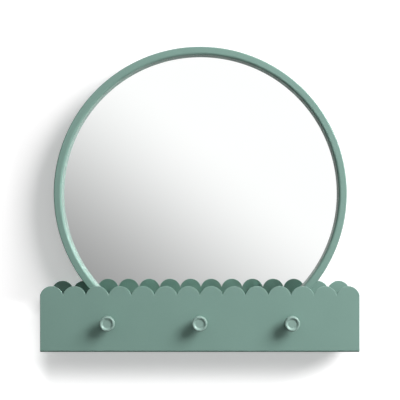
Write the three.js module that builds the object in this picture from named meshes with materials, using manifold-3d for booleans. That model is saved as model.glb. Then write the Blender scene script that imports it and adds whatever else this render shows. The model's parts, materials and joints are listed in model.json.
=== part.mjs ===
// A round mirror standing in a scalloped sheet-steel wall tray with three knob hooks.
//
// Millimetres, +Z up, +X to the right as seen from the front. The wall is the plane y = 0 and the
// front faces -Y. The origin lies on the wall, midway between the seats of the tray's wall screws.
// Depths are written as distances from the wall, so a depth d is the plane y = -d.

import * as THREE from 'three';
import { mergeVertices } from 'three/addons/utils/BufferGeometryUtils.js';
import Module from 'manifold-3d';

// ---- driving dimensions ----

// tray: one folded sheet, closed by a plate at each end
const traySheet = 1.2;
const foldRadius = 1.8; // inside radius of the two folds
const scallopPitch = 30;
const scallopCount = 14;
const scallopOverlap = 0.4; // scallop radius beyond half a pitch
const panelHeight = 87; // underside to the tops of the scallops
const trayDepth = 90; // wall to the outside of the front panel
const endHeight = 70; // underside to the upper edge of the end plates
const endCornerRadius = 3;

// keyholes for the wall screws
const wallScrewHeight = 49; // tray underside to the screw seats
const wallScrewInset = 50; // end of the tray to the nearer seat
const keyholeSlotRadius = 2.4;
const keyholeEntryRadius = 4.75;
const keyholeDrop = 9; // seat down to the centre of the round entry

// mirror ring: a rolled band, and a bezel that is its face and short inner wall
const ringRadius = 201;
const ringSheet = 1.5;
const ringFaceWidth = 11;
const ringFront = 40; // wall to the face of the ring
const innerWallDepth = 13; // ring face to the glass
const outerRounding = 1.5;
const innerRounding = 3.5;
const ringLift = 9; // tray underside to the lowest point of the ring

// what the ring holds
const glassThickness = 4;
const glassLap = 6; // glass radius beyond the ring's opening
const foamThickness = 1;
const foamInset = 5; // foam edge inside the glass edge
const boardThickness = 3;

// turn buttons on the board and the stops that they turn under
const buttonAngles = [45, 135, 225, 315];
const buttonPivotInset = 15; // board edge in to the pivot
const buttonTipGap = 0.8; // tip to the ring's band
const buttonHalfWidth = 5;
const buttonTail = 7; // pivot to the inner end
const buttonThickness = 1.5;
const buttonScrewRadius = 1.5;
const buttonScrewBite = 2.4; // length in the board
const buttonHeadRadius = 3.2;
const buttonHeadHeight = 1.4;
const buttonWasherRadius = 4;
const buttonWasherThickness = 0.8;
const stopGap = 0.5; // glass edge to the stop, so that the glass passes
const stopHalfWidth = 8;
const stopThickness = 1.5;

// ears on the ring and the tray's weld studs
const earAngle = 55; // below the horizontal through the ring's centre
const earHalfWidth = 10;
const earReach = 9; // ring to the stud
const earThickness = 2;
const studRadius = 2;
const studLength = 9;
const nutAcrossFlats = 7;
const nutHeight = 3.2;

// hanger plate at the top of the ring
const hangerHalfWidth = 36;
const hangerHeight = 28;
const hangerThickness = 1.5;
const hangerSeatDepth = 12; // top of the ring's inside to the screw seat
const bumperRadius = 5;
const bumperThickness = 3;
const bumperOffset = 22; // centre of the plate to a bumper

// knob hooks
const hookCount = 3;
const hookPitches = 4; // scallops between two hooks
const hookHeight = 39.5; // tray underside to the hook axis
const neckRadius = 5;
const neckFootRadius = 6.5;
const neckFootHeight = 1.5;
const neckLength = 10.5;
const headRadius = 10;
const headThickness = 8.5;
const headRearChamfer = 1.5;
const rimRounding = 1.8;
const recessDepth = 1.7;
const recessSlope = 38; // degrees from the face to the wall of the recess

// M4 hardware of the hooks and studs
const hookScrewRadius = 2;
const hookScrewLength = 16;
const hookScrewHeadRadius = 4;
const hookScrewHeadHeight = 2.6;
const hookScrewHeadRounding = 1;
const socketRadius = 1.45; // across the corners of the hexagonal socket
const socketDepth = 1.3;
const washerRadius = 4.5;
const washerThickness = 0.8;

// clearances
const seatGap = 0.3; // welded, curved or turned neighbours
const boreGap = 0.3; // radius of a hole beyond its screw or stud
const tipGap = 0.7; // end of a hook screw to the bottom of its hole
const cutterOverrun = 1; // a cutter starts and ends this far outside what it cuts

// smoothness
const ringSegments = 108;
const discSegments = 90;
const knobSegments = 24;
const washerSegments = 20;
const screwSegments = 12;
const scallopSteps = 12; // on one scallop
const keyholeSteps = 10; // half way round
const roundingSteps = 4; // on a small rounding
const tabSteps = 8; // on the round end of a tab

// ---- sizes that follow ----

const trayWidth = scallopPitch * scallopCount;
const halfWidth = trayWidth / 2;
const underside = -wallScrewHeight;
const scallopRadius = scallopPitch / 2 + scallopOverlap;
const scallopCentre = underside + panelHeight - scallopRadius;

const ringCentre = underside + ringLift + ringRadius;
const ringRear = traySheet + seatGap;
const ringWall = ringRadius - ringSheet; // inside of the band
const bezelRear = ringFront - ringSheet;
const openingRadius = ringRadius - ringFaceWidth;

const glassFront = ringFront - innerWallDepth;
const glassRadius = openingRadius + glassLap;
const foamFront = glassFront - glassThickness;
const boardFront = foamFront - foamThickness;
const boardRear = boardFront - boardThickness;

const buttonPivot = glassRadius - buttonPivotInset;
const buttonFront = boardRear - buttonWasherThickness;
const buttonRear = buttonFront - buttonThickness;
const stopFront = buttonRear - seatGap;

const studCircle = ringRadius + seatGap + earReach;
const earRear = traySheet + seatGap;
const earFront = earRear + earThickness;

const hookBore = hookScrewRadius + boreGap;
const buttonBore = buttonScrewRadius + boreGap;
const studBore = studRadius + boreGap;

const hookZ = underside + hookHeight;
const hookSpacing = hookPitches * scallopPitch;
const frontInside = trayDepth - traySheet;
const hookWasherRear = -traySheet - washerThickness; // from the outer face of the front panel

const radians = THREE.MathUtils.degToRad;

// ---- outlines ----

function arc(centreX, centreY, radius, fromDegrees, toDegrees, steps) {
  const points = [];
  for (let step = 0; step <= steps; step += 1) {
    const angle = radians(fromDegrees + ((toDegrees - fromDegrees) * step) / steps);
    const x = centreX + radius * Math.cos(angle);
    const y = centreY + radius * Math.sin(angle);
    points.push(new THREE.Vector2(x, y));
  }
  return points;
}

// joins corners [x, y] and runs of points into one outline without repeated neighbours
function outline(...parts) {
  const smallestStep = 1e-4;
  const points = [];
  for (const part of parts) {
    const run = part[0] instanceof THREE.Vector2 ? part : [new THREE.Vector2(part[0], part[1])];
    for (const point of run) {
      const last = points[points.length - 1];
      if (!last || last.distanceTo(point) > smallestStep) points.push(point);
    }
  }
  if (points[0].distanceTo(points[points.length - 1]) < smallestStep) points.pop();
  return points;
}

function circle(radius, segments, centreX = 0, centreY = 0) {
  return outline(arc(centreX, centreY, radius, 0, 360, segments));
}

// a keyhole with its screw seat at (x, z) and its round entry below
function keyhole(x, z) {
  const meeting = THREE.MathUtils.radToDeg(Math.asin(keyholeSlotRadius / keyholeEntryRadius));
  return outline(
    arc(x, z, keyholeSlotRadius, 0, 180, keyholeSteps),
    arc(x, z - keyholeDrop, keyholeEntryRadius, 90 + meeting, 450 - meeting, 2 * keyholeSteps),
  );
}

// both panels of the tray as seen from the front
function traySilhouette() {
  const sweep = THREE.MathUtils.radToDeg(Math.asin(scallopPitch / 2 / scallopRadius));
  const scallops = [];
  for (let index = scallopCount - 1; index >= 0; index -= 1) {
    const x = -halfWidth + (index + 0.5) * scallopPitch;
    scallops.push(arc(x, scallopCentre, scallopRadius, 90 - sweep, 90 + sweep, scallopSteps));
  }
  return outline([-halfWidth, underside], [halfWidth, underside], ...scallops);
}

// the folded sheet as seen from the end, drawn in (y, z)
function trayFold() {
  const top = underside + panelHeight;
  const floor = underside + traySheet;
  const outside = foldRadius + traySheet;
  return outline(
    [0, top],
    [-traySheet, top],
    arc(-traySheet - foldRadius, floor + foldRadius, foldRadius, 0, -90, roundingSteps),
    arc(-frontInside + foldRadius, floor + foldRadius, foldRadius, 270, 180, roundingSteps),
    [-frontInside, top],
    [-trayDepth, top],
    arc(-trayDepth + outside, underside + outside, outside, 180, 270, roundingSteps),
    arc(-outside, underside + outside, outside, 270, 360, roundingSteps),
  );
}

// ---- geometry from outlines ----

function extrude(points, length, holes = []) {
  const shape = new THREE.Shape(points);
  shape.holes = holes.map((hole) => new THREE.Path(hole));
  return new THREE.ExtrudeGeometry(shape, { depth: length, bevelEnabled: false, steps: 1 });
}

// an outline drawn in (x, z), between two depths from the wall
function plate(points, rearDepth, frontDepth, holes = []) {
  const geometry = extrude(points, frontDepth - rearDepth, holes);
  geometry.rotateX(Math.PI / 2);
  geometry.translate(0, -rearDepth, 0);
  return geometry;
}

// an outline drawn in (y, z), between two places along x
function crosswise(points, fromX, toX) {
  const geometry = extrude(points, toX - fromX);
  const alongY = new THREE.Vector3(0, 1, 0);
  const alongZ = new THREE.Vector3(0, 0, 1);
  const alongX = new THREE.Vector3(1, 0, 0);
  geometry.applyMatrix4(new THREE.Matrix4().makeBasis(alongY, alongZ, alongX));
  geometry.translate(fromX, 0, 0);
  return geometry;
}

// a profile of (radius, depth) points turned about the y axis, drawn from the rear to the front
function turned(profile, segments) {
  const points = profile.map((point) => new THREE.Vector2(Math.max(point.x, 0), -point.y));
  return new THREE.LatheGeometry(points.reverse(), segments);
}

function closed(points) {
  return [...points, points[0]];
}

// ---- booleans ----

const wasm = await Module();
wasm.setup();

function solidOf(geometry) {
  const bare = geometry.clone();
  bare.deleteAttribute('normal');
  bare.deleteAttribute('uv');
  const merged = mergeVertices(bare, 1e-4);
  const corners = merged.index.array;
  const triangles = [];
  for (let first = 0; first < corners.length; first += 3) {
    const [a, b, c] = [corners[first], corners[first + 1], corners[first + 2]];
    if (a !== b && b !== c && c !== a) triangles.push(a, b, c);
  }
  return new wasm.Manifold(new wasm.Mesh({
    numProp: 3,
    vertProperties: new Float32Array(merged.attributes.position.array),
    triVerts: new Uint32Array(triangles),
  }));
}

function geometryOf(solid) {
  const mesh = solid.getMesh();
  const geometry = new THREE.BufferGeometry();
  geometry.setAttribute('position', new THREE.BufferAttribute(mesh.vertProperties, 3));
  geometry.setIndex(new THREE.BufferAttribute(mesh.triVerts, 1));
  geometry.computeVertexNormals();
  return geometry;
}

function cut(geometry, cutters) {
  let solid = solidOf(geometry);
  for (const cutter of cutters) solid = solid.subtract(solidOf(cutter));
  return geometryOf(solid);
}

// ---- places of what repeats ----

const hookPlaces = [];
for (let index = 0; index < hookCount; index += 1) {
  hookPlaces.push([(index - (hookCount - 1) / 2) * hookSpacing, hookZ]);
}

const wallScrewPlaces = [[-halfWidth + wallScrewInset, 0], [halfWidth - wallScrewInset, 0]];

function onRing(radius, degrees) {
  return [radius * Math.cos(radians(degrees)), ringCentre + radius * Math.sin(radians(degrees))];
}

// ---- pieces of the tray ----

function trayShell() {
  const past = cutterOverrun;
  const folded = solidOf(crosswise(trayFold(), -halfWidth - past, halfWidth + past));
  const silhouette = solidOf(plate(traySilhouette(), -past, trayDepth + past));
  const blank = geometryOf(folded.intersect(silhouette));
  const cutters = [];
  for (const [x, z] of wallScrewPlaces) {
    cutters.push(plate(keyhole(x, z), -past, traySheet + past));
  }
  for (const [x, z] of hookPlaces) {
    const hole = circle(hookBore, screwSegments, x, z);
    cutters.push(plate(hole, frontInside - past, trayDepth + past));
  }
  return cut(blank, cutters);
}

function endPlate(fromX) {
  const rear = -traySheet - seatGap;
  const front = -frontInside + seatGap;
  const bottom = underside + traySheet + seatGap;
  const top = underside + endHeight;
  const points = outline(
    arc(front + foldRadius, bottom + foldRadius, foldRadius, 180, 270, roundingSteps),
    arc(rear - foldRadius, bottom + foldRadius, foldRadius, 270, 360, roundingSteps),
    arc(rear - endCornerRadius, top - endCornerRadius, endCornerRadius, 0, 90, roundingSteps),
    arc(front + endCornerRadius, top - endCornerRadius, endCornerRadius, 90, 180, roundingSteps),
  );
  return crosswise(points, fromX, fromX + traySheet);
}

function washer(outerRadius, innerRadius, rearDepth, thickness) {
  const hole = circle(innerRadius, screwSegments);
  return plate(circle(outerRadius, washerSegments), rearDepth, rearDepth + thickness, [hole]);
}

function nut() {
  const sides = 6;
  const cornerRadius = nutAcrossFlats / 2 / Math.cos(Math.PI / sides);
  const rear = earFront + washerThickness;
  return plate(circle(cornerRadius, sides), rear, rear + nutHeight, [circle(studBore, screwSegments)]);
}

function stud() {
  return plate(circle(studRadius, screwSegments), traySheet, traySheet + studLength);
}

// ---- pieces of a hook, from the outer face of the front panel at depth 0 ----

function hookNeck() {
  return turned(closed(outline(
    [hookBore, 0],
    [neckFootRadius, 0],
    [neckFootRadius, neckFootHeight / 2],
    [neckRadius, neckFootHeight],
    [neckRadius, neckLength],
    [hookBore, neckLength],
  )), knobSegments);
}

function hookHead() {
  const boreEnd = hookWasherRear + hookScrewLength + tipGap;
  const rear = neckLength;
  const front = rear + headThickness;
  const rimCentre = headRadius - rimRounding;
  const slope = radians(recessSlope);
  const rimDrop = rimRounding * (1 - Math.cos(slope));
  const wallRun = (recessDepth - rimDrop) / Math.tan(slope);
  const floorRadius = rimCentre - rimRounding * Math.sin(slope) - wallRun;
  return turned(outline(
    [0, boreEnd],
    [hookBore, boreEnd],
    [hookBore, rear],
    [headRadius - headRearChamfer, rear],
    [headRadius, rear + headRearChamfer],
    arc(rimCentre, front - rimRounding, rimRounding, 0, 90 + recessSlope, 2 * roundingSteps),
    [floorRadius, front - recessDepth],
    [0, front - recessDepth],
  ), knobSegments);
}

function hookScrew() {
  const seat = hookWasherRear;
  const rounding = hookScrewHeadRounding;
  const side = hookScrewHeadRadius - rounding;
  const rear = seat - hookScrewHeadHeight;
  const body = turned(outline(
    [0, rear],
    arc(side, rear + rounding, rounding, 270, 360, roundingSteps),
    [hookScrewHeadRadius, seat],
    [hookScrewRadius, seat],
    [hookScrewRadius, seat + hookScrewLength],
    [0, seat + hookScrewLength],
  ), screwSegments);
  const socketSides = 6;
  const socket = plate(circle(socketRadius, socketSides), rear - cutterOverrun, rear + socketDepth);
  return cut(body, [socket]);
}

// ---- pieces of the mirror, about the ring's axis ----

function ringBand() {
  return turned(closed(outline(
    [ringWall, ringRear],
    [ringRadius, ringRear],
    [ringRadius, bezelRear],
    [ringWall, bezelRear],
  )), ringSegments);
}

function ringBezel() {
  const innerWall = openingRadius + ringSheet;
  const innerBend = openingRadius + innerRounding;
  const bendInside = innerRounding - ringSheet;
  const outerBend = ringRadius - outerRounding;
  return turned(closed(outline(
    [ringRadius, bezelRear],
    arc(outerBend, ringFront - outerRounding, outerRounding, 0, 90, roundingSteps),
    arc(innerBend, ringFront - innerRounding, innerRounding, 90, 180, roundingSteps + 1),
    [openingRadius, glassFront],
    [innerWall, glassFront],
    arc(innerBend, ringFront - innerRounding, bendInside, 180, 90, roundingSteps),
    [innerBend, bezelRear],
  )), ringSegments);
}

function disc(radius, rearDepth, thickness, holes = []) {
  return plate(circle(radius, discSegments), rearDepth, rearDepth + thickness, holes);
}

function backingBoard() {
  const holes = buttonAngles.map((degrees) => {
    const x = buttonPivot * Math.cos(radians(degrees));
    const z = buttonPivot * Math.sin(radians(degrees));
    return circle(buttonBore, screwSegments, x, z);
  });
  return disc(glassRadius, boardRear, boardThickness, holes);
}

// drawn with its tip towards +X, about its pivot
function turnButton() {
  const tip = ringWall - buttonTipGap - buttonPivot;
  const points = outline(
    arc(tip - buttonHalfWidth, 0, buttonHalfWidth, -90, 90, tabSteps),
    arc(buttonHalfWidth - buttonTail, 0, buttonHalfWidth, 90, 270, tabSteps),
  );
  return plate(points, buttonRear, buttonFront, [circle(buttonBore, screwSegments)]);
}

function buttonScrew() {
  return turned(outline(
    [0, buttonRear - buttonHeadHeight],
    [buttonHeadRadius - buttonHeadHeight / 2, buttonRear - buttonHeadHeight],
    [buttonHeadRadius, buttonRear - buttonHeadHeight / 2],
    [buttonHeadRadius, buttonRear],
    [buttonScrewRadius, buttonRear],
    [buttonScrewRadius, boardRear + buttonScrewBite],
    [0, boardRear + buttonScrewBite],
  ), screwSegments);
}

// a sector just inside the ring's band, about the +X direction
function buttonStop() {
  const outer = ringWall - seatGap;
  const inner = glassRadius + stopGap;
  const sweep = THREE.MathUtils.radToDeg(Math.asin(stopHalfWidth / outer));
  const points = outline(
    arc(0, 0, outer, -sweep, sweep, roundingSteps),
    arc(0, 0, inner, sweep, -sweep, roundingSteps),
  );
  return plate(points, stopFront - stopThickness, stopFront);
}

// a tab outside the ring, about the +X direction
function ringEar() {
  const inner = ringRadius + seatGap;
  const sweep = THREE.MathUtils.radToDeg(Math.asin(earHalfWidth / inner));
  const hole = circle(studBore, screwSegments, studCircle, 0);
  const points = outline(
    arc(studCircle, 0, earHalfWidth, -90, 90, tabSteps),
    arc(0, 0, inner, sweep, -sweep, roundingSteps),
  );
  return plate(points, earRear, earFront, [hole]);
}

function hangerPlate() {
  const outer = ringWall - seatGap;
  const sweep = THREE.MathUtils.radToDeg(Math.asin(hangerHalfWidth / outer));
  const bottom = ringWall - hangerHeight;
  const points = outline(
    [-hangerHalfWidth, bottom],
    [hangerHalfWidth, bottom],
    arc(0, 0, outer, 90 - sweep, 90 + sweep, 2 * tabSteps),
  );
  const slot = keyhole(0, ringWall - hangerSeatDepth);
  return plate(points, bumperThickness, bumperThickness + hangerThickness, [slot]);
}

function wallBumper() {
  return plate(circle(bumperRadius, washerSegments), 0, bumperThickness);
}

// ---- the assembly ----

const sagePaint = { color: 0x7d9e94, roughness: 0.55, metalness: 0.0 };
const knobPaint = { color: 0x8aa89e, roughness: 0.5, metalness: 0.0 };
const sagePaintDark = { color: 0x6f8f85, roughness: 0.55, metalness: 0.0 };
const zinc = { color: 0xb9bcbc, roughness: 0.35, metalness: 1.0 };
const silvered = { color: 0xe9eef0, roughness: 0.03, metalness: 1.0 };
const fibreboard = { color: 0x9a7650, roughness: 0.85, metalness: 0.0 };
const greyFoam = { color: 0x55585a, roughness: 0.95, metalness: 0.0 };
const darkRubber = { color: 0x2c2e2f, roughness: 0.8, metalness: 0.0 };

const mirrorWithHooks = new THREE.Group();

function add(name, geometry, finish, parent = mirrorWithHooks) {
  const mesh = new THREE.Mesh(geometry, new THREE.MeshStandardMaterial(finish));
  mesh.name = name;
  parent.add(mesh);
  return mesh;
}

add('tray_shell', trayShell(), sagePaint);
add('left_end_plate', endPlate(-halfWidth), sagePaint);
add('right_end_plate', endPlate(halfWidth - traySheet), sagePaint);

const hookNames = ['left', 'centre', 'right'];
hookPlaces.forEach(([x, z], index) => {
  const hook = new THREE.Group();
  hook.position.set(x, -trayDepth, z);
  const name = hookNames[index];
  add(`hook_neck_${name}`, hookNeck(), knobPaint, hook);
  add(`hook_head_${name}`, hookHead(), knobPaint, hook);
  add(`hook_washer_${name}`, washer(washerRadius, hookBore, hookWasherRear, washerThickness), zinc, hook);
  add(`hook_screw_${name}`, hookScrew(), zinc, hook);
  mirrorWithHooks.add(hook);
});

const mirror = new THREE.Group();
mirror.position.z = ringCentre;
add('ring_band', ringBand(), sagePaint, mirror);
add('ring_bezel', ringBezel(), sagePaint, mirror);
add('mirror_glass', disc(glassRadius, foamFront, glassThickness), silvered, mirror);
add('foam_sheet', disc(glassRadius - foamInset, boardFront, foamThickness), greyFoam, mirror);
add('backing_board', backingBoard(), fibreboard, mirror);
add('hanger_plate', hangerPlate(), sagePaintDark, mirror);
add('right_ring_ear', ringEar(), sagePaintDark, mirror).rotation.y = radians(earAngle);
add('left_ring_ear', ringEar(), sagePaintDark, mirror).rotation.y = radians(180 - earAngle);
mirrorWithHooks.add(mirror);

const buttonNames = ['upper_right', 'upper_left', 'lower_left', 'lower_right'];
buttonAngles.forEach((degrees, index) => {
  const name = buttonNames[index];
  const [x, z] = onRing(buttonPivot, degrees);
  add(`button_stop_${name}`, buttonStop(), sagePaintDark, mirror).rotation.y = -radians(degrees);
  const pivot = new THREE.Group();
  pivot.position.set(x, 0, z);
  pivot.rotation.y = -radians(degrees);
  add(`turn_button_${name}`, turnButton(), zinc, pivot);
  add(`button_washer_${name}`, washer(buttonWasherRadius, buttonBore, buttonFront, buttonWasherThickness),
    zinc, pivot);
  add(`button_screw_${name}`, buttonScrew(), zinc, pivot);
  mirrorWithHooks.add(pivot);
});

const sideNames = ['right', 'left'];
sideNames.forEach((name, index) => {
  const side = index === 0 ? 1 : -1;
  const [x, z] = onRing(studCircle, -earAngle);
  const fixing = new THREE.Group();
  fixing.position.set(side * x, 0, z);
  add(`weld_stud_${name}`, stud(), zinc, fixing);
  add(`stud_washer_${name}`, washer(washerRadius, studBore, earFront, washerThickness), zinc, fixing);
  add(`stud_nut_${name}`, nut(), zinc, fixing);
  mirrorWithHooks.add(fixing);
  const bumper = add(`wall_bumper_${name}`, wallBumper(), darkRubber, mirror);
  bumper.position.set(side * bumperOffset, 0, ringWall - hangerSeatDepth);
});

export default mirrorWithHooks;
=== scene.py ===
import bpy
import bmesh
import json
import math
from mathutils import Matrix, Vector
from mathutils.geometry import tessellate_polygon


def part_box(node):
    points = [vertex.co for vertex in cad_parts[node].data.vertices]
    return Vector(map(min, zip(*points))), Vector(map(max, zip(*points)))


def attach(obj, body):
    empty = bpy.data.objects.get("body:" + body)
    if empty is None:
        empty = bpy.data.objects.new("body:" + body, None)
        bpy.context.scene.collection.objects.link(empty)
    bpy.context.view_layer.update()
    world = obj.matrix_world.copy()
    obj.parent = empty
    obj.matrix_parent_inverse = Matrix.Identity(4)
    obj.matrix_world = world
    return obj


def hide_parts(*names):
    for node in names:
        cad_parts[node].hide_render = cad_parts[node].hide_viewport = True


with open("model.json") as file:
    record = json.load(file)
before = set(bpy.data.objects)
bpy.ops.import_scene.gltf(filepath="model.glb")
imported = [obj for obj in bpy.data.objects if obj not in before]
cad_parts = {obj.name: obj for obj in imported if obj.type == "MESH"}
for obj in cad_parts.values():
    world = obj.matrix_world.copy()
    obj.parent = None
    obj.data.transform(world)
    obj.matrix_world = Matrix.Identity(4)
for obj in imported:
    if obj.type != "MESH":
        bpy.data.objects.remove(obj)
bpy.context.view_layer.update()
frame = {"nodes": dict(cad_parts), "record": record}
frameBody = "mirror_and_tray"
print("frame loaded:", len(frame["nodes"]), "nodes")


# colours are picked as 0-255 screen values and mixed in linear light
def paintColour(red, green, blue):
    def toLinear(level):
        level = level / 255
        return level / 12.92 if level < 0.04045 else ((level + 0.055) / 1.055) ** 2.4
    return (toLinear(red), toLinear(green), toLinear(blue), 1.0)


def startGroup(name, inputs, outputs):
    group = bpy.data.node_groups.new(name, "ShaderNodeTree")
    for title, kind, value in inputs:
        socket = group.interface.new_socket(title, in_out="INPUT", socket_type=kind)
        socket.default_value = value
    for title, kind in outputs:
        group.interface.new_socket(title, in_out="OUTPUT", socket_type=kind)
    return group, group.nodes.new("NodeGroupInput"), group.nodes.new("NodeGroupOutput")


def addNode(tree, kind, **settings):
    node = tree.nodes.new(kind)
    for name, value in settings.items():
        setattr(node, name, value)
    return node


def mathNode(tree, operation, first, second=0.5):
    node = addNode(tree, "ShaderNodeMath", operation=operation)
    for socket, value in zip(node.inputs, (first, second)):
        if isinstance(value, bpy.types.NodeSocket):
            tree.links.new(value, socket)
        else:
            socket.default_value = value
    return node.outputs[0]


# noise at a size given in millimetres, in the object's own coordinates
def noiseAt(tree, sizeSocket, detail, roughness=0.5):
    place = addNode(tree, "ShaderNodeTexCoord")
    perMetre = mathNode(tree, "DIVIDE", 1000.0, sizeSocket)
    noise = addNode(tree, "ShaderNodeTexNoise")
    noise.inputs["Detail"].default_value = detail
    noise.inputs["Roughness"].default_value = roughness
    tree.links.new(place.outputs["Object"], noise.inputs["Vector"])
    tree.links.new(perMetre, noise.inputs["Scale"])
    return noise.outputs["Fac"]


def rangeNode(tree, value, low, high, toLow=0.0, toHigh=1.0):
    node = addNode(tree, "ShaderNodeMapRange")
    for title, amount in (("From Min", low), ("From Max", high), ("To Min", toLow), ("To Max", toHigh)):
        if isinstance(amount, bpy.types.NodeSocket):
            tree.links.new(amount, node.inputs[title])
        else:
            node.inputs[title].default_value = amount
    tree.links.new(value, node.inputs["Value"])
    return node.outputs["Result"]


def softRamp(tree, value, low, high, toHigh):
    result = rangeNode(tree, value, low, high, 0.0, toHigh)
    result.node.interpolation_type = "SMOOTHSTEP"
    return result


def mixNode(tree, factor, first, second):
    node = addNode(tree, "ShaderNodeMix", data_type="RGBA")
    for socket, value in zip((node.inputs[0], node.inputs[6], node.inputs[7]), (factor, first, second)):
        if isinstance(value, bpy.types.NodeSocket):
            tree.links.new(value, socket)
        else:
            socket.default_value = value
    return node.outputs[2]


# slow drift of a finish between two tones
def buildToneDrift():
    inputs = [("Base Color", "NodeSocketColor", (0.5, 0.5, 0.5, 1)),
              ("Drift Color", "NodeSocketColor", (0.4, 0.4, 0.4, 1)),
              ("Size", "NodeSocketFloat", 60.0), ("Amount", "NodeSocketFloat", 0.5)]
    group, given, result = startGroup("toneDrift", inputs, [("Color", "NodeSocketColor")])
    cloud = rangeNode(group, noiseAt(group, given.outputs["Size"], 3.0), 0.3, 0.7)
    share = mathNode(group, "MULTIPLY", cloud, given.outputs["Amount"])
    mixed = mixNode(group, share, given.outputs["Base Color"], given.outputs["Drift Color"])
    group.links.new(mixed, result.inputs["Color"])
    return group


# the orange peel of baked powder and the fine grain on it
def buildPowderGrain():
    inputs = [("Peel Size", "NodeSocketFloat", 2.2), ("Grain Size", "NodeSocketFloat", 0.35),
              ("Grain Share", "NodeSocketFloat", 0.3), ("Smooth", "NodeSocketFloat", 0.4),
              ("Rough", "NodeSocketFloat", 0.5)]
    outputs = [("Height", "NodeSocketFloat"), ("Roughness", "NodeSocketFloat")]
    group, given, result = startGroup("powderGrain", inputs, outputs)
    peel = noiseAt(group, given.outputs["Peel Size"], 1.0)
    grain = noiseAt(group, given.outputs["Grain Size"], 2.0)
    fine = mathNode(group, "MULTIPLY", grain, given.outputs["Grain Share"])
    group.links.new(mathNode(group, "ADD", peel, fine), result.inputs["Height"])
    sheen = rangeNode(group, grain, 0.3, 0.7, given.outputs["Smooth"], given.outputs["Rough"])
    group.links.new(sheen, result.inputs["Roughness"])
    return group


edgeThinningAndHighlightMask = {"fullyTurned": 0.85, "patchSize": 4.0, "patchLow": 0.35, "patchHigh": 0.65, "leastShare": 0.5}


# where an edge turns within the given width the colour shows lighter: partly the coat pulling thin, partly a
# painted highlight along the rounded edges
def buildEdgeThinningAndHighlight():
    inputs = [("Color", "NodeSocketColor", (0.5, 0.5, 0.5, 1)),
              ("Edge Color", "NodeSocketColor", (0.7, 0.7, 0.7, 1)),
              ("Width", "NodeSocketFloat", 0.6), ("Amount", "NodeSocketFloat", 0.5)]
    group, given, result = startGroup("edgeThinningAndHighlight", inputs, [("Color", "NodeSocketColor")])
    bevel = addNode(group, "ShaderNodeBevel", samples=4)
    group.links.new(mathNode(group, "DIVIDE", given.outputs["Width"], 1000.0), bevel.inputs["Radius"])
    surface = addNode(group, "ShaderNodeNewGeometry")
    facing = addNode(group, "ShaderNodeVectorMath", operation="DOT_PRODUCT")
    group.links.new(bevel.outputs["Normal"], facing.inputs[0])
    group.links.new(surface.outputs["Normal"], facing.inputs[1])
    turned = rangeNode(group, facing.outputs["Value"], 1.0, edgeThinningAndHighlightMask["fullyTurned"])
    patches = noiseAt(group, edgeThinningAndHighlightMask["patchSize"], 2.0)
    patchy = rangeNode(group, patches, edgeThinningAndHighlightMask["patchLow"], edgeThinningAndHighlightMask["patchHigh"], edgeThinningAndHighlightMask["leastShare"])
    mask = mathNode(group, "MULTIPLY", turned, patchy)
    share = mathNode(group, "MULTIPLY", mask, given.outputs["Amount"])
    group.links.new(mixNode(group, share, given.outputs["Color"], given.outputs["Edge Color"]),
                    result.inputs["Color"])
    return group


# faint handling marks: long soft streaks and a few spots
def buildHandlingMarks():
    inputs = [("Clean", "NodeSocketFloat", 0.0), ("Marked", "NodeSocketFloat", 0.05),
              ("Size", "NodeSocketFloat", 30.0)]
    group, given, result = startGroup("handlingMarks", inputs, [("Roughness", "NodeSocketFloat")])
    cloud = noiseAt(group, given.outputs["Size"], 6.0, 0.6)
    mask = rangeNode(group, cloud, 0.5, 0.75)
    group.links.new(rangeNode(group, mask, 0.0, 1.0, given.outputs["Clean"], given.outputs["Marked"]),
                    result.inputs["Roughness"])
    return group


toneDrift = buildToneDrift()
powderGrain = buildPowderGrain()
edgeThinningAndHighlight = buildEdgeThinningAndHighlight()
handlingMarks = buildHandlingMarks()
print("shared node groups ready")


def startMaterial(name):
    material = bpy.data.materials.new(name)
    material.use_nodes = True
    shader = material.node_tree.nodes["Principled BSDF"]
    return material, material.node_tree, shader


def placeGroup(tree, group, **values):
    node = tree.nodes.new("ShaderNodeGroup")
    node.node_tree = group
    for title, value in values.items():
        spaced = "".join(" " + letter if letter.isupper() else letter for letter in title)
        node.inputs[spaced[0].upper() + spaced[1:]].default_value = value
    return node


def addBump(tree, shader, height, depth):
    bump = addNode(tree, "ShaderNodeBump")
    bump.inputs["Distance"].default_value = depth
    tree.links.new(height, bump.inputs["Height"])
    tree.links.new(bump.outputs["Normal"], shader.inputs["Normal"])


# the sage paint's lighter edge colour is partly coat thinning and partly a painted highlight along the
# sheet's rounded edges
sagePaint = {"colour": (124, 158, 147), "drift": (120, 154, 143), "edge": (190, 212, 202), "edgeAmount": 0.65,
             "edgeWidth": 0.5, "driftSize": 70.0, "driftAmount": 0.8, "smooth": 0.24, "rough": 0.32,
             "specular": 0.24, "peelDepth": 0.000015}
# the turned knobs take a lighter copy of the sage paint, with a lighter edge colour that is partly coat
# thinning and partly a painted highlight on the rims
knobPaint = {"colour": (138, 168, 158), "drift": (134, 164, 154), "edge": (176, 200, 189), "edgeAmount": 0.35,
             "edgeWidth": 0.5, "driftSize": 70.0, "driftAmount": 0.8, "smooth": 0.26, "rough": 0.34,
             "specular": 0.3, "peelDepth": 0.000012}


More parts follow.
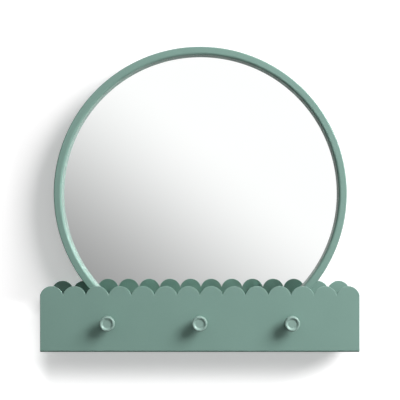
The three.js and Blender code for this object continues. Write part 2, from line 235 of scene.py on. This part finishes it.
def buildPowderCoat(name, paint):
    material, tree, shader = startMaterial(name)
    tone = placeGroup(tree, toneDrift, baseColor=paintColour(*paint["colour"]),
                      driftColor=paintColour(*paint["drift"]), size=paint["driftSize"],
                      amount=paint["driftAmount"])
    edge = placeGroup(tree, edgeThinningAndHighlight, edgeColor=paintColour(*paint["edge"]), width=paint["edgeWidth"],
                      amount=paint["edgeAmount"])
    grain = placeGroup(tree, powderGrain, smooth=paint["smooth"], rough=paint["rough"])
    tree.links.new(tone.outputs["Color"], edge.inputs["Color"])
    tree.links.new(edge.outputs["Color"], shader.inputs["Base Color"])
    tree.links.new(grain.outputs["Roughness"], shader.inputs["Roughness"])
    shader.inputs["Specular IOR Level"].default_value = paint["specular"]
    addBump(tree, shader, grain.outputs["Height"], paint["peelDepth"])
    return material


silvering = {"colour": (0.955, 0.965, 0.96, 1), "drift": (0.945, 0.96, 0.952, 1), "driftSize": 160.0,
             "clean": 0.0, "marked": 0.012, "markSize": 55.0}


def buildSilveredGlass():
    material, tree, shader = startMaterial("silveredGlass")
    shader.inputs["Metallic"].default_value = 1.0
    tone = placeGroup(tree, toneDrift, baseColor=silvering["colour"], driftColor=silvering["drift"],
                      size=silvering["driftSize"], amount=1.0)
    marks = placeGroup(tree, handlingMarks, clean=silvering["clean"], marked=silvering["marked"],
                       size=silvering["markSize"])
    tree.links.new(tone.outputs["Color"], shader.inputs["Base Color"])
    tree.links.new(marks.outputs["Roughness"], shader.inputs["Roughness"])
    return material


zinc = {"colour": (205, 208, 208), "spangle": (178, 184, 190), "spangleSize": 3.0, "spangleAmount": 0.9,
        "edge": (226, 227, 226), "edgeWidth": 0.3, "edgeAmount": 0.6, "clean": 0.26, "marked": 0.48,
        "markSize": 4.0, "peelSize": 1.1, "grainSize": 0.25, "peelDepth": 0.000008}


def buildZincSteel():
    material, tree, shader = startMaterial("zincSteel")
    shader.inputs["Metallic"].default_value = 1.0
    tone = placeGroup(tree, toneDrift, baseColor=paintColour(*zinc["colour"]),
                      driftColor=paintColour(*zinc["spangle"]), size=zinc["spangleSize"],
                      amount=zinc["spangleAmount"])
    edge = placeGroup(tree, edgeThinningAndHighlight, edgeColor=paintColour(*zinc["edge"]), width=zinc["edgeWidth"],
                      amount=zinc["edgeAmount"])
    marks = placeGroup(tree, handlingMarks, clean=zinc["clean"], marked=zinc["marked"], size=zinc["markSize"])
    grain = placeGroup(tree, powderGrain, peelSize=zinc["peelSize"], grainSize=zinc["grainSize"])
    tree.links.new(tone.outputs["Color"], edge.inputs["Color"])
    tree.links.new(edge.outputs["Color"], shader.inputs["Base Color"])
    tree.links.new(marks.outputs["Roughness"], shader.inputs["Roughness"])
    addBump(tree, shader, grain.outputs["Height"], zinc["peelDepth"])
    return material


board = {"colour": (178, 146, 108), "drift": (150, 118, 84), "driftSize": 1.6, "driftAmount": 0.8,
         "fleck": (120, 92, 64), "fleckAmount": 0.35, "fleckFrom": 0.72, "fleckTo": 0.95, "fibreScale": 90.0,
         "fibreDistortion": 60.0, "fibreDetail": 3.0, "grainShare": 0.8, "smooth": 0.72, "rough": 0.92,
         "grainDepth": 0.00006}


def buildFibreboard():
    material, tree, shader = startMaterial("fibreboard")
    tone = placeGroup(tree, toneDrift, baseColor=paintColour(*board["colour"]),
                      driftColor=paintColour(*board["drift"]), size=board["driftSize"],
                      amount=board["driftAmount"])
    grain = placeGroup(tree, powderGrain, peelSize=1.2, grainSize=0.3, grainShare=board["grainShare"],
                       smooth=board["smooth"], rough=board["rough"])
    fibres = addNode(tree, "ShaderNodeTexWave", wave_type="BANDS", bands_direction="DIAGONAL")
    fibres.inputs["Scale"].default_value = board["fibreScale"]
    fibres.inputs["Distortion"].default_value = board["fibreDistortion"]
    fibres.inputs["Detail"].default_value = board["fibreDetail"]
    place = addNode(tree, "ShaderNodeTexCoord")
    tree.links.new(place.outputs["Object"], fibres.inputs["Vector"])
    fleck = rangeNode(tree, fibres.outputs["Fac"], board["fleckFrom"], board["fleckTo"], 0.0,
                      board["fleckAmount"])
    tree.links.new(mixNode(tree, fleck, tone.outputs["Color"], paintColour(*board["fleck"])),
                   shader.inputs["Base Color"])
    tree.links.new(grain.outputs["Roughness"], shader.inputs["Roughness"])
    addBump(tree, shader, grain.outputs["Height"], board["grainDepth"])
    return material


foam = {"colour": (92, 95, 97), "drift": (70, 73, 75), "driftSize": 2.0, "cellsPerMetre": 1400.0,
        "smooth": 0.8, "rough": 0.98, "cellDepth": 0.0002}


def buildFoam():
    material, tree, shader = startMaterial("closedCellFoam")
    tone = placeGroup(tree, toneDrift, baseColor=paintColour(*foam["colour"]),
                      driftColor=paintColour(*foam["drift"]), size=foam["driftSize"], amount=1.0)
    cells = addNode(tree, "ShaderNodeTexVoronoi")
    cells.inputs["Scale"].default_value = foam["cellsPerMetre"]
    place = addNode(tree, "ShaderNodeTexCoord")
    tree.links.new(place.outputs["Object"], cells.inputs["Vector"])
    tree.links.new(tone.outputs["Color"], shader.inputs["Base Color"])
    sheen = rangeNode(tree, cells.outputs["Distance"], 0.0, 1.0, foam["smooth"], foam["rough"])
    tree.links.new(sheen, shader.inputs["Roughness"])
    addBump(tree, shader, cells.outputs["Distance"], foam["cellDepth"])
    return material


rubber = {"colour": (52, 54, 55), "bloom": (66, 68, 68), "bloomSize": 2.5, "bloomAmount": 0.8,
          "peelSize": 0.9, "grainSize": 0.2, "grainShare": 0.6, "smooth": 0.6, "rough": 0.8,
          "grainDepth": 0.00004}


def buildRubber():
    material, tree, shader = startMaterial("bumperRubber")
    tone = placeGroup(tree, toneDrift, baseColor=paintColour(*rubber["colour"]),
                      driftColor=paintColour(*rubber["bloom"]), size=rubber["bloomSize"],
                      amount=rubber["bloomAmount"])
    grain = placeGroup(tree, powderGrain, peelSize=rubber["peelSize"], grainSize=rubber["grainSize"],
                       grainShare=rubber["grainShare"], smooth=rubber["smooth"], rough=rubber["rough"])
    tree.links.new(tone.outputs["Color"], shader.inputs["Base Color"])
    tree.links.new(grain.outputs["Roughness"], shader.inputs["Roughness"])
    addBump(tree, shader, grain.outputs["Height"], rubber["grainDepth"])
    return material


materials = {
    "sage_paint": buildPowderCoat("sagePowderCoat", sagePaint),
    "knob_paint": buildPowderCoat("knobPowderCoat", knobPaint),
    "mirror_glass": buildSilveredGlass(),
    "zinc_steel": buildZincSteel(),
    "fibreboard": buildFibreboard(),
    "foam": buildFoam(),
    "bumper_rubber": buildRubber(),
}
print("materials ready:", ", ".join(materials))


# an outline from corners (u, v) or (u, v, radius); a corner with a radius is rounded
def softOutline(corners, steps=6, isLoop=True):
    points = []
    for index, corner in enumerate(corners):
        here = Vector(corner[:2])
        radius = corner[2] if len(corner) > 2 else 0
        atEnd = not isLoop and index in (0, len(corners) - 1)
        if radius == 0 or atEnd:
            points.append(here)
            continue
        before = (Vector(corners[index - 1][:2]) - here).normalized()
        after = (Vector(corners[(index + 1) % len(corners)][:2]) - here).normalized()
        half = before.angle(after) / 2
        centre = here + (before + after).normalized() * radius / math.sin(half)
        start = here + before * radius / math.tan(half) - centre
        sweep = before.cross(after)
        turn = (math.pi - 2 * half) * (-1 if sweep > 0 else 1)
        for step in range(steps + 1):
            angle = turn * step / steps
            points.append(centre + Vector((start.x * math.cos(angle) - start.y * math.sin(angle),
                                           start.x * math.sin(angle) + start.y * math.cos(angle))))
    return points


def arcPoints(centreU, centreV, radius, fromDegrees, toDegrees, steps):
    turn = toDegrees - fromDegrees
    angles = [math.radians(fromDegrees + turn * step / steps) for step in range(steps + 1)]
    return [Vector((centreU + radius * math.cos(a), centreV + radius * math.sin(a))) for a in angles]


# a round hole, which runs clockwise
def holePoints(centreU, centreV, radius, steps=32):
    return arcPoints(centreU, centreV, radius, 0, 360, steps)[:-1][::-1]


# moves an outline into the material on its left
def insetOutline(points, distance):
    moved = []
    for index, here in enumerate(points):
        before = (here - points[index - 1]).normalized()
        after = (points[(index + 1) % len(points)] - here).normalized()
        inward = Vector((-before.y - after.y, before.x + after.x)).normalized()
        stretch = max(0.25, inward.dot(Vector((-after.y, after.x))))
        moved.append(here + inward * distance / stretch)
    return moved


# a flat piece with softened edges: the first outline runs anticlockwise, holes run clockwise
def plateMesh(outlines, low, high, rounding, place, steps=3):
    mesh = bmesh.new()
    turns = [math.pi / 2 * step / steps for step in range(steps + 1)]
    layers = [(rounding * (1 - math.sin(turn)), low + rounding * (1 - math.cos(turn))) for turn in turns]
    layers += [(inset, low + high - depth) for inset, depth in reversed(layers)]
    caps = {0: [], len(layers) - 1: []}
    for outline in outlines:
        below = None
        for number, (inset, depth) in enumerate(layers):
            ring = [mesh.verts.new(place(p.x, p.y, depth)) for p in insetOutline(outline, inset)]
            if number in caps:
                caps[number].append(ring)
            if below:
                for index in range(len(ring)):
                    mesh.faces.new((below[index - 1], below[index], ring[index], ring[index - 1]))
            below = ring
    for number, rings in caps.items():
        flat = [insetOutline(outline, layers[number][0]) for outline in outlines]
        verts = [vert for ring in rings for vert in ring]
        for corners in tessellate_polygon([[p.to_3d() for p in ring] for ring in flat]):
            if len(set(corners)) == 3:
                mesh.faces.new([verts[corner] for corner in corners])
    return mesh


# a piece turned about the depth axis through (centreX, centreZ), from (radius, y) points
def turnedMesh(profile, centreX, centreZ, steps, isLoop=False):
    mesh = bmesh.new()
    rows = []
    for point in profile:
        if point.x < 1e-7:
            rows.append([mesh.verts.new((centreX, point.y, centreZ))])
            continue
        around = [2 * math.pi * step / steps for step in range(steps)]
        places = [(centreX + point.x * math.cos(a), point.y, centreZ + point.x * math.sin(a)) for a in around]
        rows.append([mesh.verts.new(place) for place in places])
    pairs = list(zip(rows, rows[1:])) + ([(rows[-1], rows[0])] if isLoop else [])
    for near, far in pairs:
        for step in range(steps):
            if len(near) == 1:
                mesh.faces.new((near[0], far[step], far[step - 1]))
            elif len(far) == 1:
                mesh.faces.new((near[step - 1], near[step], far[0]))
            else:
                mesh.faces.new((near[step - 1], near[step], far[step], far[step - 1]))
    return mesh


sharpFrom = 42  # degrees between faces from which an edge is shaded sharp


def makePiece(name, mesh, slotName, replaced, body=frameBody):
    bmesh.ops.recalc_face_normals(mesh, faces=mesh.faces)
    data = bpy.data.meshes.new(name)
    mesh.to_mesh(data)
    mesh.free()
    data.shade_smooth()
    data.set_sharp_from_angle(angle=math.radians(sharpFrom))
    data.materials.append(materials[slotName])
    piece = bpy.data.objects.new(name, data)
    bpy.context.collection.objects.link(piece)
    shading = piece.modifiers.new("evenShading", "WEIGHTED_NORMAL")
    shading.keep_sharp = True
    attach(piece, body)
    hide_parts(*replaced)
    return piece


trayLow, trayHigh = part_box("tray_shell")
endLow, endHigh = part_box("left_end_plate")
hookLow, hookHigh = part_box("hook_head_centre")
sheet = endHigh.x - endLow.x
trayWidth = trayHigh.x - trayLow.x
trayDepth = trayHigh.y - trayLow.y
panelHeight = trayHigh.z - trayLow.z

tray = {"scallops": 14, "overlap": 0.0004, "foldRadius": 0.0018, "edgeRounding": 0.00055,
        "keyholeX": 0.16, "slotRadius": 0.0024, "entryRadius": 0.00475, "keyholeDrop": 0.009,
        "hookHole": 0.0023, "scallopSteps": 20, "slotSteps": 16, "entrySteps": 28, "foldSteps": 8}
endPlate = {"gap": 0.00005, "cornerRadius": 0.003, "edgeRounding": 0.0003}


# the developed blank: s runs from the top of the back panel, under the floor, to the top of the front
def buildTrayShell():
    outer = tray["foldRadius"] + sheet
    middle = tray["foldRadius"] + sheet / 2
    upright = panelHeight - outer
    fold = middle * math.pi / 2
    floor = trayDepth - 2 * outer
    total = 2 * (upright + fold) + floor
    pitch = trayWidth / tray["scallops"]
    radius = pitch / 2 + tray["overlap"]
    reach = math.degrees(math.asin(pitch / 2 / radius))

    def scallopRun(sign, crest):
        points = []
        for index in range(tray["scallops"]):
            middleX = trayLow.x + (index + 0.5) * pitch
            ends = (90 + reach, 90 - reach) if sign > 0 else (-90 - reach, -90 + reach)
            run = arcPoints(middleX, crest - sign * radius, radius, *ends, tray["scallopSteps"])
            points += run if not points else run[1:]
        return points

    blank = scallopRun(-1, 0.0) + scallopRun(1, total)[::-1]
    seatS = trayHigh.z  # the wall screws' seats are at height 0
    outlines = [blank]
    meeting = math.degrees(math.asin(tray["slotRadius"] / tray["entryRadius"]))
    for side in (-1, 1):
        slot = arcPoints(side * tray["keyholeX"], seatS, tray["slotRadius"], 180, 360, tray["slotSteps"])
        entry = arcPoints(side * tray["keyholeX"], seatS + tray["keyholeDrop"], tray["entryRadius"],
                          meeting - 90, 270 - meeting, tray["entrySteps"])
        outlines.append((slot + entry)[::-1])
    hookS = total - (trayHigh.z - (hookLow.z + hookHigh.z) / 2)
    for name in ("left", "centre", "right"):
        low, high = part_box("hook_head_" + name)
        outlines.append(holePoints((low.x + high.x) / 2, hookS, tray["hookHole"]))

    mesh = plateMesh(outlines, 0.0, sheet, tray["edgeRounding"], lambda x, s, t: (x, s, t))
    foldStarts = (upright, upright + fold + floor)
    for foldStart in foldStarts:
        for step in range(tray["foldSteps"] + 1):
            geometry = mesh.verts[:] + mesh.edges[:] + mesh.faces[:]
            bmesh.ops.bisect_plane(mesh, geom=geometry, dist=1e-7, plane_no=(0, 1, 0),
                                   plane_co=(0, foldStart + fold * step / tray["foldSteps"], 0))

    for vert in mesh.verts:
        x, s, t = vert.co
        if s < foldStarts[0]:
            y, z = -t, trayHigh.z - s
        elif s < foldStarts[0] + fold:
            angle = (s - foldStarts[0]) / middle
            y = -outer + (outer - t) * math.cos(angle)
            z = trayLow.z + outer - (outer - t) * math.sin(angle)
        elif s < foldStarts[1]:
            y, z = -outer - (s - foldStarts[0] - fold), trayLow.z + t
        elif s < foldStarts[1] + fold:
            angle = (s - foldStarts[1]) / middle
            y = trayLow.y + outer - (outer - t) * math.sin(angle)
            z = trayLow.z + outer - (outer - t) * math.cos(angle)
        else:
            y, z = trayLow.y + t, trayLow.z + outer + (s - foldStarts[1] - fold)
        vert.co = (x, y, z)
    makePiece("trayShell", mesh, "sage_paint", ["tray_shell"])


def buildEndPlates():
    inside = sheet + endPlate["gap"]
    bottom, front, rear, top = trayLow.z + inside, trayLow.y + inside, -inside, endHigh.z
    fold, corner = tray["foldRadius"], endPlate["cornerRadius"]
    outline = softOutline([(front, bottom, fold), (rear, bottom, fold), (rear, top, corner),
                           (front, top, corner)])
    for name in ("left", "right"):
        low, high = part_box(name + "_end_plate")
        mesh = plateMesh([outline], low.x, high.x, endPlate["edgeRounding"], lambda y, z, x: (x, y, z))
        makePiece(name + "EndPlate", mesh, "sage_paint", [name + "_end_plate"])


buildTrayShell()
buildEndPlates()
print("tray built")

ring = {"sheet": 0.0015, "outerRounding": 0.0015, "innerRounding": 0.0035, "faceWidth": 0.011,
        "seamRounding": 0.0002, "bezelSeam": 0.0001, "edgeRounding": 0.0004, "steps": 320}


def buildMirrorRing():
    low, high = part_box("ring_band")
    bezelLow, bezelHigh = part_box("ring_bezel")
    centreX, centreZ, radius = (low.x + high.x) / 2, (low.z + high.z) / 2, (high.x - low.x) / 2
    wall = radius - ring["sheet"]
    opening = radius - ring["faceWidth"]
    seam, edge = ring["seamRounding"], ring["edgeRounding"]
    band = softOutline([(wall, low.y, seam), (wall, high.y, edge), (radius, high.y, edge),
                        (radius, low.y, seam)], 3)
    mesh = turnedMesh(band, centreX, centreZ, ring["steps"], True)
    makePiece("ringBand", mesh, "sage_paint", ["ring_band"])
    front, rear, joint = bezelLow.y, bezelHigh.y, low.y
    inner = ring["innerRounding"] - ring["sheet"]
    back = opening + ring["sheet"]
    bezel = softOutline([(radius, joint, ring["bezelSeam"]), (radius, front, ring["outerRounding"]),
                         (opening, front, ring["innerRounding"]), (opening, rear, edge),
                         (back, rear, edge), (back, joint, inner)], 10)
    mesh = turnedMesh(bezel, centreX, centreZ, ring["steps"], True)
    makePiece("ringBezel", mesh, "sage_paint", ["ring_bezel"])


buildMirrorRing()
print("mirror ring built")

knob = {"rim": 0.0018, "recess": 0.0017, "slope": 38, "fillet": 0.002, "chamfer": 0.0015,
        "chamferRounding": 0.0006, "shoulderRounding": 0.0008, "bore": 0.0023, "boreDepth": 0.0042,
        "boreRounding": 0.0003, "steps": 72}
neck = {"radius": 0.005, "footRadius": 0.0065, "footHeight": 0.0015, "endRounding": 0.0002,
        "footRounding": 0.0005, "rootRounding": 0.0008}


def buildHooks():
    for name in ("left", "centre", "right"):
        low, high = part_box("hook_head_" + name)
        neckLow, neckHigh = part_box("hook_neck_" + name)
        centreX, centreZ, radius = (low.x + high.x) / 2, (low.z + high.z) / 2, (high.x - low.x) / 2
        rim, floorY, slope = knob["rim"], low.y + knob["recess"], math.radians(knob["slope"])
        rimArc = arcPoints(radius - rim, low.y + rim, rim, 0, -90 - knob["slope"], 24)
        floorRadius = rimArc[-1].x - (floorY - rimArc[-1].y) / math.tan(slope)
        profile = softOutline([
            (0, high.y - knob["boreDepth"]), (knob["bore"], high.y - knob["boreDepth"]),
            (knob["bore"], high.y, knob["boreRounding"]),
            (radius - knob["chamfer"], high.y, knob["chamferRounding"]),
            (radius, high.y - knob["chamfer"], knob["shoulderRounding"]), rimArc[0]], 8, False)
        profile += rimArc[1:-1]
        profile += softOutline([rimArc[-1], (floorRadius, floorY, knob["fillet"]), (0, floorY)], 8, False)
        mesh = turnedMesh(profile, centreX, centreZ, knob["steps"])
        makePiece("hookHead" + name.title(), mesh, "knob_paint", ["hook_head_" + name])
        wallY, headY = neckHigh.y, neckLow.y
        foot = wallY - neck["footHeight"]
        profile = softOutline([
            (knob["bore"], wallY, neck["endRounding"]), (neck["footRadius"], wallY, neck["endRounding"]),
            (neck["footRadius"], wallY - neck["footHeight"] / 2, neck["footRounding"]),
            (neck["radius"], foot, neck["rootRounding"]),
            (neck["radius"], headY), (knob["bore"], headY)], 6)
        mesh = turnedMesh(profile, centreX, centreZ, knob["steps"], True)
        makePiece("hookNeck" + name.title(), mesh, "knob_paint", ["hook_neck_" + name])


buildHooks()
print("hooks built")


# every CAD node that is still shown takes the finish of its slot
def dressNodes():
    slots = {part["node"]: part["material_slot"] for part in frame["record"]["subparts"]}
    for name, node in frame["nodes"].items():
        if node.hide_render:
            continue
        node.data.materials.clear()
        node.data.materials.append(materials[slots[name]])


dressNodes()
print("remaining nodes dressed")

photoView = {"size": 400, "footX": 212.0, "footY": 209.0, "trayLeft": 39.95, "trayRight": 359.6,
             "trayBottom": 352.36, "distance": 1.18, "sensor": 36.0, "nearest": 0.05}


# the photograph looks square on at the wall; its foot point sets the eye's height and side
def buildCamera():
    scale = trayWidth / (photoView["trayRight"] - photoView["trayLeft"])
    size = photoView["size"]
    lens = bpy.data.cameras.new("studioCamera")
    lens.sensor_width = photoView["sensor"]
    lens.lens = photoView["distance"] / scale * photoView["sensor"] / size
    lens.shift_x = (size / 2 - photoView["footX"]) / size
    lens.shift_y = (photoView["footY"] - size / 2) / size
    lens.clip_start = photoView["nearest"]
    middle = (photoView["trayLeft"] + photoView["trayRight"]) / 2
    camera = bpy.data.objects.new("studioCamera", lens)
    camera.location = ((photoView["footX"] - middle) * scale, trayLow.y - photoView["distance"],
                       trayLow.z + (photoView["trayBottom"] - photoView["footY"]) * scale)
    camera.rotation_euler = (math.radians(90), 0, 0)
    bpy.context.collection.objects.link(camera)
    bpy.context.scene.camera = camera


stage = {"wallHalf": 4.0, "floorDrop": 0.62, "wallGap": 0.0004, "wallLevel": 0.80, "wallLift": 0.355,
         "floorLift": 0.12}
# painted light on the wall: the camera sees it lighter beside the tray's left end and under it, which washes
# out the tray's shadow there
paintedWallLight = {"sideFrom": -0.210, "sideTo": -0.241, "sideTop": 0.016, "sideBottom": -0.015, "side": 0.46,
        "behindTop": 0.0, "behindBottom": -0.04, "behind": 0.035, "underTop": -0.073, "underBottom": -0.115,
        "under": 0.40, "farFrom": -0.25, "farTo": -0.285, "far": 0.06}


# painted light: how much lighter the camera sees the wall, place by place on the wall, so the tray's shadow
# fades out sooner
def buildPaintedWallLight():
    group, given, result = startGroup("wallWash", [], [("Strength", "NodeSocketFloat")])
    place = addNode(group, "ShaderNodeTexCoord")
    split = addNode(group, "ShaderNodeSeparateXYZ")
    group.links.new(place.outputs["Object"], split.inputs[0])
    x, z = split.outputs["X"], split.outputs["Z"]
    beside = softRamp(group, x, paintedWallLight["sideFrom"], paintedWallLight["sideTo"], paintedWallLight["side"])
    low = softRamp(group, z, paintedWallLight["sideTop"], paintedWallLight["sideBottom"], 1.0)
    behind = softRamp(group, z, paintedWallLight["behindTop"], paintedWallLight["behindBottom"], paintedWallLight["behind"])
    under = softRamp(group, z, paintedWallLight["underTop"], paintedWallLight["underBottom"], paintedWallLight["under"])
    far = softRamp(group, x, paintedWallLight["farFrom"], paintedWallLight["farTo"], paintedWallLight["far"])
    beside = mathNode(group, "ADD", mathNode(group, "MULTIPLY", beside, low), far)
    total = mathNode(group, "ADD", beside, mathNode(group, "ADD", behind, under))
    group.links.new(mathNode(group, "ADD", total, stage["wallLift"]), result.inputs["Strength"])
    return group


# a wall that is there only from its front, and keeps the shadow that falls on it, except where painted light
# washes it out beside and under the tray
def buildWall():
    half, gap = stage["wallHalf"], stage["wallGap"]
    floorZ = trayLow.z - stage["floorDrop"]
    data = bpy.data.meshes.new("wall")
    data.from_pydata([(-half, gap, floorZ), (half, gap, floorZ), (half, gap, floorZ + half),
                      (-half, gap, floorZ + half)], [], [(0, 1, 2, 3)])
    wall = bpy.data.objects.new("wall", data)
    bpy.context.collection.objects.link(wall)
    wall.visible_shadow = False
    wall.visible_diffuse = False
    material, tree, shader = startMaterial("wallPaint")
    level = stage["wallLevel"]
    tone = placeGroup(tree, toneDrift, baseColor=(level * 0.97, level, level * 0.99, 1),
                      driftColor=(level * 0.96, level * 0.99, level * 0.98, 1), size=300.0, amount=1.0)
    tree.links.new(tone.outputs["Color"], shader.inputs["Base Color"])
    shader.inputs["Roughness"].default_value = 0.9
    shader.inputs["Specular IOR Level"].default_value = 0.0
    shader.inputs["Emission Color"].default_value = (1, 1, 1, 1)
    light = addNode(tree, "ShaderNodeLightPath")
    # painted light: this lift washes out the shadow beside the tray's left end and under it
    lift = placeGroup(tree, buildPaintedWallLight())
    tree.links.new(mathNode(tree, "MULTIPLY", light.outputs["Is Camera Ray"], lift.outputs["Strength"]),
                   shader.inputs["Emission Strength"])
    clear = addNode(tree, "ShaderNodeBsdfTransparent")
    surface = addNode(tree, "ShaderNodeNewGeometry")
    both = addNode(tree, "ShaderNodeMixShader")
    tree.links.new(surface.outputs["Backfacing"], both.inputs[0])
    tree.links.new(shader.outputs[0], both.inputs[1])
    tree.links.new(clear.outputs[0], both.inputs[2])
    tree.links.new(both.outputs[0], tree.nodes["Material Output"].inputs["Surface"])
    data.materials.append(material)


def buildFloor():
    half, floorZ = stage["wallHalf"], trayLow.z - stage["floorDrop"]
    data = bpy.data.meshes.new("floor")
    data.from_pydata([(-half, -half, floorZ), (half, -half, floorZ), (half, half, floorZ),
                      (-half, half, floorZ)], [], [(0, 1, 2, 3)])
    floor = bpy.data.objects.new("floor", data)
    bpy.context.collection.objects.link(floor)
    floor.visible_diffuse = False
    material, tree, shader = startMaterial("paleFloor")
    tone = placeGroup(tree, toneDrift, baseColor=(0.82, 0.82, 0.81, 1), driftColor=(0.78, 0.78, 0.77, 1),
                      size=220.0, amount=1.0)
    tree.links.new(tone.outputs["Color"], shader.inputs["Base Color"])
    shader.inputs["Roughness"].default_value = 0.8
    shader.inputs["Emission Color"].default_value = (1, 1, 1, 1)
    light = addNode(tree, "ShaderNodeLightPath")
    tree.links.new(mathNode(tree, "MULTIPLY", light.outputs["Is Camera Ray"], stage["floorLift"]),
                   shader.inputs["Emission Strength"])
    data.materials.append(material)


aimHeight = 0.2  # above the tray's underside
keyLight = {"towards": (1.18, -1.0, 0.84), "distance": 1.9, "size": 1.1, "power": 47.0,
            "colour": (1.06, 1.0, 1.02), "sheen": False, "afterDiffuse": 1.0}
# what the finish shows of the key: a smaller lamp beside it that only glossy reflections see
keyGlow = {"towards": (1.75, -1.0, 0.95), "distance": 1.9, "size": 0.7, "power": 30.0,
           "colour": (0.88, 1.04, 0.98), "sheen": True, "afterDiffuse": 1.65}


def buildLight(name, light):
    lamp = bpy.data.lights.new(name, "AREA")
    lamp.shape = "DISK"
    lamp.size = light["size"]
    lamp.energy = light["power"]
    lamp.color = light["colour"]
    lamp.use_nodes = True
    tree = lamp.node_tree
    path = addNode(tree, "ShaderNodeLightPath")
    later = mathNode(tree, "GREATER_THAN", path.outputs["Diffuse Depth"], 0.5)
    tree.links.new(rangeNode(tree, later, 0.0, 1.0, 1.0, light["afterDiffuse"]),
                   tree.nodes["Emission"].inputs["Strength"])
    target = Vector((0, trayLow.y / 2, trayLow.z + aimHeight))
    direction = Vector(light["towards"]).normalized()
    holder = bpy.data.objects.new(name, lamp)
    holder.location = target + direction * light["distance"]
    holder.rotation_euler = direction.to_track_quat("Z", "Y").to_euler()
    holder.visible_diffuse = not light["sheen"]
    holder.visible_glossy = light["sheen"]
    bpy.context.collection.objects.link(holder)


room = {"across": 0.618, "up": 0.786, "darkFrom": -0.207, "lightFrom": 0.061, "dark": 0.56, "light": 1.02,
        "gamma": 2.2, "fill": 0.42, "fillBeside": 0.3, "fillAhead": 1.7, "fillBehind": 2.2,
        "behindFrom": 0.1, "behindTo": 0.5, "cornerFrom": -0.22, "cornerTo": -0.6, "cornerLoss": 0.6,
        "windowFrom": 0.3, "windowTo": 0.6, "window": 3.8}


# a room that is white towards the upper right, where the paint's gloss also shows a wide window, and falls
# off to the lower left; matt surfaces get less of it from the sides and more from ahead and behind, and
# the camera itself sees white
def buildWorld():
    world = bpy.data.worlds.new("studioRoom")
    bpy.context.scene.world = world
    world.use_nodes = True
    tree = world.node_tree
    background = tree.nodes["Background"]
    place = addNode(tree, "ShaderNodeTexCoord")
    split = addNode(tree, "ShaderNodeSeparateXYZ")
    tree.links.new(place.outputs["Generated"], split.inputs[0])
    across = mathNode(tree, "MULTIPLY", split.outputs["X"], room["across"])
    up = mathNode(tree, "MULTIPLY", split.outputs["Z"], room["up"])
    slope = mathNode(tree, "ADD", across, up)
    level = rangeNode(tree, slope, room["darkFrom"], room["lightFrom"], room["dark"], room["light"])
    level.node.interpolation_type = "SMOOTHSTEP"
    corner = softRamp(tree, slope, room["cornerFrom"], room["cornerTo"], -room["cornerLoss"])
    level = mathNode(tree, "MULTIPLY", level, mathNode(tree, "ADD", corner, 1.0))
    light = addNode(tree, "ShaderNodeLightPath")
    direct = mathNode(tree, "LESS_THAN", light.outputs["Diffuse Depth"], 0.5)
    mirrored = mathNode(tree, "MULTIPLY", light.outputs["Is Glossy Ray"], direct)
    ahead = mathNode(tree, "POWER", mathNode(tree, "ABSOLUTE", split.outputs["Y"]), 2.0)
    fill = rangeNode(tree, ahead, 0.0, 1.0, room["fillBeside"], room["fillAhead"])
    behind = softRamp(tree, split.outputs["Y"], room["behindFrom"], room["behindTo"], room["fillBehind"])
    fill = mathNode(tree, "ADD", fill, behind)
    share = rangeNode(tree, mirrored, 0.0, 1.0, mathNode(tree, "MULTIPLY", fill, room["fill"]), 1.0)
    shown = mathNode(tree, "MULTIPLY", mathNode(tree, "POWER", level, room["gamma"]), share)
    window = softRamp(tree, slope, room["windowFrom"], room["windowTo"], room["window"])
    shown = mathNode(tree, "ADD", shown, mathNode(tree, "MULTIPLY", window, mirrored))
    seen = mathNode(tree, "MAXIMUM", shown, light.outputs["Is Camera Ray"])
    tree.links.new(seen, background.inputs["Strength"])
    background.inputs["Color"].default_value = (1, 1, 1, 1)


buildCamera()
buildWall()
buildFloor()
buildLight("keyLight", keyLight)
buildLight("keyGlow", keyGlow)
buildWorld()
bpy.context.scene.view_settings.view_transform = "Standard"
print("stage, lights and camera ready")
